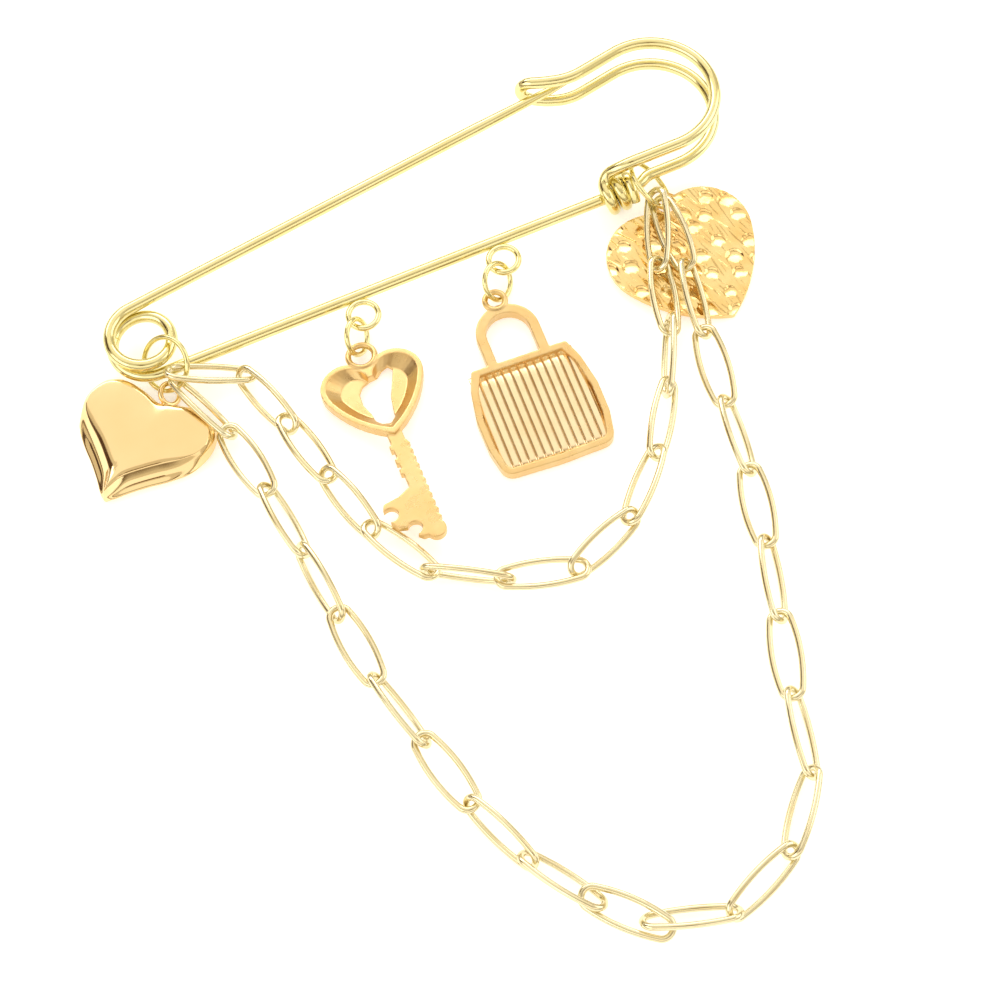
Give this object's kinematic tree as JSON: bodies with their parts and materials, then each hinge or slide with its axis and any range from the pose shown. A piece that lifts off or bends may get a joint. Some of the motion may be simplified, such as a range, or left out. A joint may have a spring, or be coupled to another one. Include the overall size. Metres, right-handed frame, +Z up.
{
  "type": "safety pin brooch",
  "caption": "Large wire safety pin brooch that fastens to cloth, with swagged chains and hanging heart, key and padlock charms.",
  "frame": {"origin": "middle of the floor of the whole brooch's box, on the surface it lies on", "axes": "+X along the bar from the spring coil to the head, +Y in the surface from the bar towards the pin stem, +Z up from the surface"},
  "size_m": [0.0832, 0.0994, 0.0069],
  "materials": {
    "gold": "polished pale yellow gold plate",
    "warm_gold": "polished warm yellow gold plate"
  },
  "bodies": {
    "brooch": {"pin_frame": "gold", "ring_left": "gold", "ring_right": "gold", "ring_key": "gold", "ring_padlock": "gold", "link_long_01": "gold", "link_long_02": "gold", "link_long_03": "gold", "link_long_04": "gold", "link_long_05": "gold", "link_long_06": "gold", "link_long_07": "gold", "link_long_08": "gold", "link_long_09": "gold", "link_long_10": "gold", "link_long_11": "gold", "link_long_12": "gold", "link_long_13": "gold", "link_long_14": "gold", "link_long_15": "gold", "link_long_16": "gold", "link_long_17": "gold", "link_long_18": "gold", "link_long_19": "gold", "link_long_20": "gold", "link_long_21": "gold", "link_short_01": "gold", "link_short_02": "gold", "link_short_03": "gold", "link_short_04": "gold", "link_short_05": "gold", "link_short_06": "gold", "link_short_07": "gold", "link_short_08": "gold", "link_short_09": "gold", "link_short_10": "gold", "link_short_11": "gold", "link_short_12": "gold", "link_short_13": "gold", "heart_puffy": "warm_gold", "key": "warm_gold", "padlock": "warm_gold", "heart_hammered": "warm_gold"},
    "arm": {"pin_arm": "gold"}
  },
  "joints": [
    {"name": "pin_open", "type": "hinge", "parent": "brooch", "child": "arm", "pos_m": [-0.0311, 0.0367, 0.0032], "axis": [0, 0, 1], "range_deg": [-8, 0], "stiffness_Nm_per_rad": 0.05}
  ]
}
